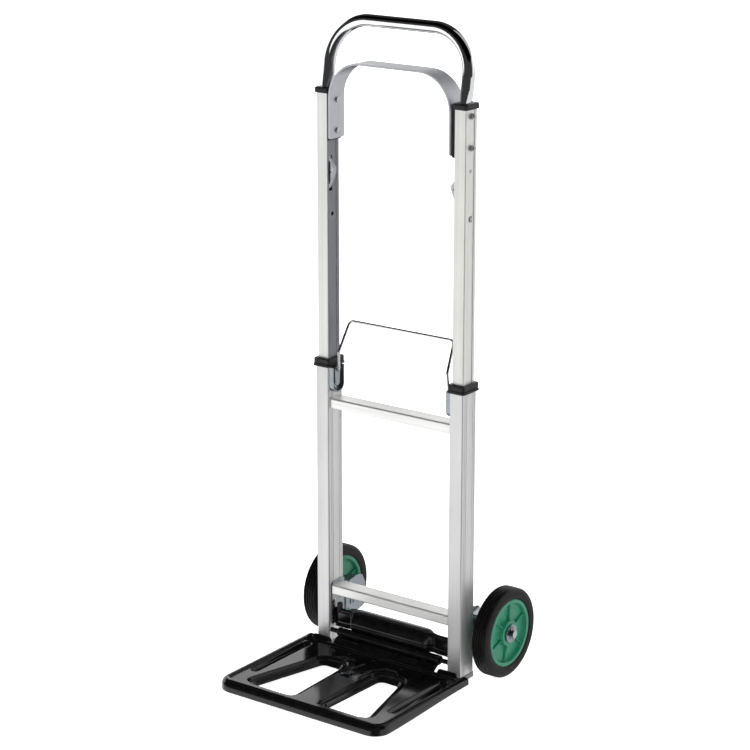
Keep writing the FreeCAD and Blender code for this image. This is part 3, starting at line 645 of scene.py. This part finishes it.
def feature_lines(window, facing):
    """Lines that the plate's mesh follows, as (path, whether it is closed)."""
    lines = []

    def both_sides(path, closed):
        lines.append((path, closed))
        lines.append((path * MIRROR, closed))

    _, width = window_lip(facing)
    for step in LIP_STEPS:
        both_sides(window + facing * (width * step)[:, None], True)
    rim, away = rounded_outline((
        (-TOE_X, TOE_FRONT, FRONT_CORNER), (TOE_X, TOE_FRONT, FRONT_CORNER),
        (TOE_X, TOE_REAR, REAR_CORNER), (-TOE_X, TOE_REAR, REAR_CORNER)), RING_STEP)
    for inset in PAN_RINGS:
        lines.append((rim - away * inset, True))
    x, y0, y1 = PILL
    for half in PILL_RINGS:
        radius = half * PILL_ROUND
        pill, _ = rounded_outline((
            (x - half, y0 - half, radius), (x + half, y0 - half, radius),
            (x + half, y1 + half, radius), (x - half, y1 + half, radius)), RING_STEP)
        both_sides(pill, True)
    for path, _, _ in BEADS:
        for side in (1, -1):
            spine = np.array(path, float) * np.array([side, 1.0])
            for start, end in zip(spine, spine[1:]):
                along = end - start
                across = np.array([along[1], -along[0]]) / np.linalg.norm(along)
                pieces = max(2, int(np.linalg.norm(along) / BEAD_STEP))
                for offset in BEAD_LINES:
                    run = [start + along * k / pieces + across * offset
                           for k in range(pieces + 1)]
                    lines.append((run, False))
    for x, y, half_x, half_y in BOSSES:
        for grow in BOSS_RINGS:
            left, right = x - half_x - grow, x + half_x + grow
            front, rear = y - half_y - grow, y + half_y + grow
            lines.append(([(left, front), (right, front), (right, rear), (left, rear)], True))
    for x, y in STUDS:
        for radius in STUD_RINGS:
            turns = np.linspace(0, 2 * math.pi, STUD_TURNS + 1)[:-1]
            ring = np.column_stack([x + radius * np.cos(turns), y + radius * np.sin(turns)])
            lines.append((ring, True))
    return lines


def toe_plate():
    """Pressed sheet: the rolled lip all round, and the top with its windows and stampings."""
    window, facing = rounded_outline(WINDOW, EDGE_STEP)
    rings, border = toe_wall(*toe_edge())
    points, faces = loft(rings, True)

    plan = [tuple(p) for p in border]
    edges = [(i, (i + 1) % len(border)) for i in range(len(border))]
    for path, closed in feature_lines(window, facing):
        first = len(plan)
        plan.extend(tuple(p) for p in path)
        edges.extend((first + i, first + i + 1) for i in range(len(path) - 1))
        if closed:
            edges.append((first + len(path) - 1, first))
    plan.extend((x, y) for x in np.arange(*GRID_X, GRID_STEP)
                for y in np.arange(*GRID_Y, GRID_STEP))
    found = delaunay_2d_cdt([Vector(p) for p in plan], edges, [], 0, CDT_GAP)
    flat = np.array([tuple(v) for v in found[0]])
    triangles = np.array([tuple(f) for f in found[2]])
    centres = flat[triangles].mean(1)
    keep = (inside(centres, border) & ~inside(centres, window)
            & ~inside(centres, window * MIRROR))
    on_border, _ = nearest(flat, border, True)
    heights = np.where(on_border < ON_BORDER, TOE_TOP, toe_height(flat, window, facing))
    first = len(points)
    points += [(x, y, z) for (x, y), z in zip(flat, heights)]
    faces += [tuple(first + int(i) for i in face) for face in triangles[keep]]
    used = sorted({i for face in faces for i in face})
    renumber = {old: new for new, old in enumerate(used)}
    return [points[i] for i in used], [tuple(renumber[i] for i in face) for face in faces]


def toe_leaf():
    """Leaf that rises from the plate's back and curls round the hinge rod."""
    path = bent_path(LEAF_FOOT, LEAF_TRIMS)
    for degrees in range(*LEAF_CURL):
        angle = math.radians(degrees)
        path.append((ROD_Y + LEAF_R * math.cos(angle), ROD_Z + LEAF_R * math.sin(angle)))
    points, faces = loft([[(x, y, z) for y, z in path] for x in LEAF_STATIONS], False)
    return points, flipped(faces)


def toe_rim(side):
    """Upstand in front of a rail's foot, rounded at its ends."""
    rings = []
    for t in np.linspace(-1, 1, RIM_STATIONS):
        x = side * (RIM_X + RIM_HALF * t)
        top = TOE_TOP + RIM_RISE * math.sqrt(max(0.0, 1 - t ** RIM_ROUND)) + RIM_LEAST
        ring = [(x, RIM_Y + out, top - drop) for out, drop in RIM_SECTION]
        foot = TOE_TOP - RIM_SINK
        rings.append([(x, ring[0][1], foot)] + ring + [(x, ring[-1][1], foot)])
    points, faces = loft(rings, True)
    count = len(rings[0])
    faces.append(tuple(range(count)))
    faces.append(tuple(reversed(range(len(points) - count, len(points)))))
    return points, flipped(faces) if side < 0 else faces


# ---------------------------------------------------------------- crossmember
# Sections as (y, z): the bulge in the middle and the flat wing at each end.

BULGE = ((3.6, 42.4), (-12.6, 42.4), (-23.6, 52.0), (-23.6, 59.0), (-19.5, 68.5), (-11.5, 75.7),
         (3.6, 75.7), (3.6, 70.0))
WING = ((-2.7, 38.3), (-5.3, 38.3), (-5.3, 45.0), (-5.3, 53.0), (-5.3, 62.0), (-5.3, 71.8),
        (-2.7, 71.8), (-2.7, 70.0))
BULGE_TRIMS = (2.5, 3.0, 3.0, 3.5, 4.0, 1.5)
WING_TRIMS = (0.8, 3.0, 3.0, 3.0, 0.9, 0.7)
BEND_STEPS = 6
FLAT_RUNS = 3

# The x where the bulge's front and its top start to shrink, and over how long.
FRONT_TAPER = (71.0, 14.0)
TOP_TAPER = (64.0, 31.0)
PANEL_HALF = 117.3
PANEL_STATIONS = ((0, 60, 8), (62, 98, 25), (102, PANEL_HALF, 5))


def crossmember():
    """Pressed bar between the rails."""
    bulge = bent_path(BULGE, BULGE_TRIMS, BEND_STEPS, FLAT_RUNS)
    wing = bent_path(WING, WING_TRIMS, BEND_STEPS, FLAT_RUNS)
    right = [x for run in PANEL_STATIONS for x in np.linspace(*run)]
    rings = []
    for x in [-x for x in reversed(right[1:])] + right:
        blend = np.array([float(smooth_step((start + span - abs(x)) / span))
                          for start, span in (FRONT_TAPER, TOP_TAPER)])
        rings.append([(x, *(w + (b - w) * blend)) for b, w in zip(bulge, wing)])
    return loft(rings, False)


# ---------------------------------------------------------------- wheels

WHEEL_R = 75.0
TYRE_HALF = 14.5
TYRE_TURNS = 128
SHOULDER = 7.5
SHOULDER_NARROW = 0.55
SHOULDER_IN = 0.4
SHOULDER_DOWN = 0.1
SHOULDER_STEP = 10
GROOVES = (2.4, 7.2)
GROOVE_DEPTH = 1.9
SIDEWALL_FROM = 12

# A tread groove, as (distance out from its middle, depth), the groove round a shoulder, as
# (distance in, distance below the shoulder), and the side of a tyre, as (distance in, radius).
GROOVE_SHAPE = ((0.4, GROOVE_DEPTH), (0.75, GROOVE_DEPTH - 0.2), (1.15, 0.35), (1.5, 0.05))
SHOULDER_GROOVE = ((0.3, -0.4), (0.75, 0.2), (0.3, 0.8))
BEAD_SIDE = ((0.05, 64.0), (0.2, 60.0), (0.6, 58.0), (1.3, 57.0), (2.0, 56.4), (4.0, 56.2))

# Hub's profile on one side from the rim inwards, as (distance out, radius), and its ribs'
# sections along a spoke, as (radius, distance out).
HUB_FACE = ((0.0, 56.1), (12.6, 56.1), (13.2, 55.6), (13.3, 54.6), (13.3, 50.8), (12.9, 50.1),
            (12.0, 49.6), (6.8, 48.3), (6.0, 47.4), (5.8, 46.0), (5.8, 25.0), (6.1, 23.4),
            (7.2, 22.4), (12.4, 21.4), (13.4, 20.9), (13.9, 20.0), (14.0, 18.5), (14.0, 15.8),
            (13.6, 15.2), (13.2, 9.02), (0.0, 9.02))
HUB_TURNS = 96
RIBS = 6
RIB_ANGLE = 22.0
RIB_FOOT = 5.0
RIB_SHOULDER = 0.7
RIB_HALVES = (1.7, 1.05, 0.6)
RIB_SECTIONS = ((20.5, 11.4), (24.0, 11.0), (34.0, 9.6), (44.0, 9.2), (49.5, 10.4))


def lathe(profile, centre, turns):
    """Surface turned about the axle from (x, radius) points."""
    rings = []
    for k in range(turns):
        angle = 2 * math.pi * k / turns
        rings.append([(x, centre[0] + r * math.cos(angle), centre[1] + r * math.sin(angle))
                      for x, r in profile])
    rings.append(rings[0])
    return loft(rings, False)


def half_tyre():
    """Tyre's profile from the middle of the tread to the bead, as (distance out, radius)."""
    profile = [(0.0, WHEEL_R)]
    for groove in GROOVES:
        profile += [(groove - out, WHEEL_R - deep) for out, deep in reversed(GROOVE_SHAPE)]
        profile += [(groove + out, WHEEL_R - deep) for out, deep in GROOVE_SHAPE]
    for degrees in range(SHOULDER_STEP, 90, SHOULDER_STEP):
        angle = math.radians(degrees)
        inset = SHOULDER_IN + SHOULDER * (1 - math.sin(angle)) * SHOULDER_NARROW
        drop = SHOULDER * (1 - math.cos(angle)) + SHOULDER_DOWN
        profile.append((TYRE_HALF - inset, WHEEL_R - drop))
    profile += [(TYRE_HALF - inset, WHEEL_R - SHOULDER - deep) for inset, deep in SHOULDER_GROOVE]
    return profile + [(TYRE_HALF - inset, radius) for inset, radius in BEAD_SIDE]


def tyre(middle, centre):
    """Solid tyre about the axle, with a groove round each shoulder."""
    half = half_tyre()
    profile = [(middle - x, r) for x, r in reversed(half[1:])] + [(middle + x, r) for x, r in half]
    profile.append(profile[0])
    return lathe(profile, centre, TYRE_TURNS)


def rib(middle, centre, side, degrees):
    """One radial rib on a side of a hub."""
    angle = math.radians(degrees)
    spoke = np.array([math.cos(angle), math.sin(angle)])
    across = np.array([-spoke[1], spoke[0]])
    rings = []
    for radius, rise in RIB_SECTIONS:
        flank = list(zip((RIB_FOOT, rise - RIB_SHOULDER, rise), RIB_HALVES))
        ring = []
        for out, half in flank + [(out, -half) for out, half in reversed(flank)]:
            y, z = np.array(centre) + spoke * radius + across * half
            ring.append((middle + side * out, y, z))
        rings.append(ring)
    return loft(rings, False)


def hub(middle, centre):
    """Moulded hub with ribs on both sides."""
    profile = [(middle + x, r) for x, r in HUB_FACE]
    profile += [(middle - x, r) for x, r in reversed(HUB_FACE)]
    points, faces = lathe(profile, centre, HUB_TURNS)
    for side in (1, -1):
        for k in range(RIBS):
            more, sides = rib(middle, centre, side, 360 // RIBS * k + RIB_ANGLE)
            base = len(points)
            points += more
            faces += [tuple(base + i for i in face) for face in sides]
    return points, faces


def paint_sidewalls(piece, middle):
    """Gives the tyre's flat sides their own greyer rubber."""
    piece.data.materials.append(FINISHES["tyre_side"])
    edge = (WHEEL_R - SHOULDER) * MM
    low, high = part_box(piece["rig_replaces"][0])
    centre_y = (low.y + high.y) / 2
    centre_z = (low.z + high.z) / 2
    for polygon in piece.data.polygons:
        place = polygon.center
        radius = math.hypot(place.y - centre_y, place.z - centre_z)
        if radius < edge and abs(place.x - middle * MM) > SIDEWALL_FROM * MM:
            polygon.material_index = 1


def make_wheels():
    for side in ("left", "right"):
        low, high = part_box(side + "_tyre")
        middle = (low.x + high.x) / 2 / MM
        centre = ((low.y + high.y) / 2 / MM - RAIL_Y / MM, (low.z + high.z) / 2 / MM)
        body = side + "_wheel"
        rubber = make_piece(side + "_rubber_tyre", tyre(middle, centre), body, side + "_tyre",
                            "tyre_rubber")
        paint_sidewalls(rubber, middle)
        make_piece(side + "_moulded_hub", hub(middle, centre), body, side + "_wheel_hub",
                   "green_plastic")


TOE_SHEET = 1.9
CROSSMEMBER_SHEET = 1.6
PRESSED_CREASE = 50.0


def make_pressings():
    make_piece("toe_pressing", toe_plate(), "toe", "toe_plate", "black_paint",
               thick=TOE_SHEET, crease=PRESSED_CREASE, even=False)
    make_piece("toe_leaf", toe_leaf(), "toe", "toe_plate", "black_paint", thick=TOE_SHEET)
    for side, name in ((1, "right_toe_rim"), (-1, "left_toe_rim")):
        make_piece(name, toe_rim(side), "toe", "toe_plate", "black_paint")
    make_piece("crossmember_pressing", crossmember(), "frame", "crossmember", "black_paint",
               thick=CROSSMEMBER_SHEET, crease=PRESSED_CREASE)


# ---------------------------------------------------------------- camera, light and floor
# Metres.

VIEW_AZIMUTH = math.radians(36.34)
VIEW_ELEVATION = math.radians(16.33)
CAMERA_PLACE = Vector((2.1632, -2.994 + RAIL_Y, 1.5791))
LENS = 115.2
SENSOR = 36.0
CLIP_END = 60.0

# Soft lights, as (name, place, size, power), all turned to the truck's middle.
LIGHTS = (("key", (-2.6, -3.2, 3.4), (2.2, 2.2), 50),
          ("fill", (3.4, -1.6, 2.0), (1.6, 2.6), 22),
          ("rim", (0.8, 3.6, 2.8), (2.4, 1.6), 25))
LIGHT_TARGET = Vector((0, 0, 0.5))

# What gloss sees of the studio, as (position, brightness). SKY_STOPS go with how far up a ray
# points. The others go round the truck: 0.5 is towards the camera, 0 and 1 are the far side.
SKY_STOPS = ((0.0, 1.0), (0.42, 1.0), (0.5, 0.02), (1.0, 0.02))
SKY_FLAGS = ((0.0, 1.6), (0.15, 1.6), (0.18, 0.04), (0.66, 0.04), (0.7, 0.8), (0.8, 1.2),
             (0.85, 1.6), (1.0, 1.6))
SIDE_WINDOW = ((0.0, 0.0), (0.7, 0.0), (0.74, 0.45), (0.86, 0.45), (0.9, 0.0), (1.0, 0.0))
GROUND_FLAGS = ((0.0, 0.04), (0.05, 0.04), (0.08, 1.2), (0.4, 1.2), (0.43, 0.03), (0.57, 0.03),
                (0.6, 0.8), (0.92, 0.8), (0.95, 0.04), (1.0, 0.04))

PAPER_WHITE = (0.93, 0.93, 0.93)
PAPER_TONES = ((0.92, 0.92, 0.92), (0.94, 0.94, 0.94))
PAPER_GLOW = 0.85
FLOOR_RADIUS = 8.0
SWEEP = 3.0
SWEEP_STEPS = 16
WALL_TOP = 9.0
STAGE_TURNS = 96


def make_camera():
    data = bpy.data.cameras.new("camera")
    data.sensor_width = SENSOR
    data.lens = LENS
    data.clip_end = CLIP_END
    camera = bpy.data.objects.new("camera", data)
    back = Vector((math.sin(VIEW_AZIMUTH) * math.cos(VIEW_ELEVATION),
                   -math.cos(VIEW_AZIMUTH) * math.cos(VIEW_ELEVATION),
                   math.sin(VIEW_ELEVATION)))
    camera.location = CAMERA_PLACE
    camera.rotation_euler = (-back).to_track_quat("-Z", "Y").to_euler()
    bpy.context.scene.collection.objects.link(camera)
    bpy.context.scene.camera = camera


def make_lights():
    for name, place, size, power in LIGHTS:
        data = bpy.data.lights.new(name, "AREA")
        data.shape = "RECTANGLE"
        data.size, data.size_y = size
        data.energy = power
        light = bpy.data.objects.new(name, data)
        light.visible_glossy = False
        light.location = place
        aim = LIGHT_TARGET - Vector(place)
        light.rotation_euler = aim.to_track_quat("-Z", "Y").to_euler()
        bpy.context.scene.collection.objects.link(light)


def make_world():
    """White studio; what the gloss sees of it has a dark ceiling band and black flags."""
    world = bpy.data.worlds.new("studio")
    bpy.context.scene.world = world
    world.use_nodes = True
    tree = world.node_tree
    lit = tree.nodes["Background"]
    lit.inputs["Strength"].default_value = 1.0
    place = tree.nodes.new("ShaderNodeTexCoord")
    split = tree.nodes.new("ShaderNodeSeparateXYZ")
    tree.links.new(place.outputs["Generated"], split.inputs["Vector"])

    def ramp(value, stops):
        made = tree.nodes.new("ShaderNodeValToRGB")
        tree.links.new(value, made.inputs["Fac"])
        elements = made.color_ramp.elements
        while len(elements) > 1:
            elements.remove(elements[0])
        for k, (position, level) in enumerate(stops):
            stop = elements[0] if k == 0 else elements.new(position)
            stop.position = position
            stop.color = (level, level, level, 1)
        return made.outputs["Color"]

    def math_node(kind, *values):
        made = tree.nodes.new("ShaderNodeMath")
        made.operation = kind
        for k, value in enumerate(values):
            if isinstance(value, float):
                made.inputs[k].default_value = value
            else:
                tree.links.new(value, made.inputs[k])
        return made.outputs["Value"]

    turn = math_node("ARCTAN2", split.outputs["X"], math_node("MULTIPLY", split.outputs["Y"], -1.0))
    turn = math_node("SUBTRACT", turn, VIEW_AZIMUTH)
    turn = math_node("FRACT", math_node("ADD", math_node("DIVIDE", turn, 2 * math.pi), 0.5))
    sky = math_node("MULTIPLY", ramp(split.outputs["Z"], SKY_STOPS), ramp(turn, SKY_FLAGS))
    sky = math_node("MAXIMUM", sky, ramp(turn, SIDE_WINDOW))
    above = math_node("GREATER_THAN", split.outputs["Z"], 0.0)
    mix = tree.nodes.new("ShaderNodeMix")
    mix.data_type = "RGBA"
    tree.links.new(above, mix.inputs["Factor"])
    tree.links.new(ramp(turn, GROUND_FLAGS), mix.inputs["A"])
    tree.links.new(sky, mix.inputs["B"])
    tree.links.new(mix.outputs["Result"], lit.inputs["Color"])

    plain = tree.nodes.new("ShaderNodeBackground")
    plain.inputs["Color"].default_value = (1, 1, 1, 1)
    plain.inputs["Strength"].default_value = 1.0
    path = tree.nodes.new("ShaderNodeLightPath")
    blend = tree.nodes.new("ShaderNodeMixShader")
    tree.links.new(path.outputs["Is Camera Ray"], blend.inputs["Fac"])
    tree.links.new(lit.outputs["Background"], blend.inputs[1])
    tree.links.new(plain.outputs["Background"], blend.inputs[2])
    tree.links.new(blend.outputs["Shader"], tree.nodes["World Output"].inputs["Surface"])


def make_stage():
    """White floor that sweeps up into a round wall far from the truck."""
    profile = [(0.0, 0.0), (FLOOR_RADIUS / 3, 0.0), (FLOOR_RADIUS * 2 / 3, 0.0)]
    for k in range(SWEEP_STEPS + 1):
        angle = math.radians(90) * k / SWEEP_STEPS
        profile.append((FLOOR_RADIUS + SWEEP * math.sin(angle), SWEEP * (1 - math.cos(angle))))
    profile.append((FLOOR_RADIUS + SWEEP, WALL_TOP))
    rings = []
    for k in range(STAGE_TURNS + 1):
        turn = 2 * math.pi * k / STAGE_TURNS
        rings.append([(r * math.cos(turn), r * math.sin(turn), z) for r, z in profile])
    points, faces = loft(rings, False)
    mesh = smooth_mesh("floor", points, flipped(faces))
    floor = bpy.data.objects.new("floor", mesh)
    floor.visible_glossy = False
    bpy.context.scene.collection.objects.link(floor)
    paper = Finish("paper", PAPER_WHITE, metallic=0.0, roughness=0.85)
    paper.vary_color(paper.noise(1.5, detail=2.0), *PAPER_TONES)
    paper.set("Emission Color", (1, 1, 1, 1))
    paper.set("Emission Strength", PAPER_GLOW)
    mesh.materials.append(paper.material)


dress_frame()
make_pressings()
make_wheels()
make_camera()
make_world()
make_stage()
make_lights()

bpy.context.scene.view_settings.view_transform = "Standard"
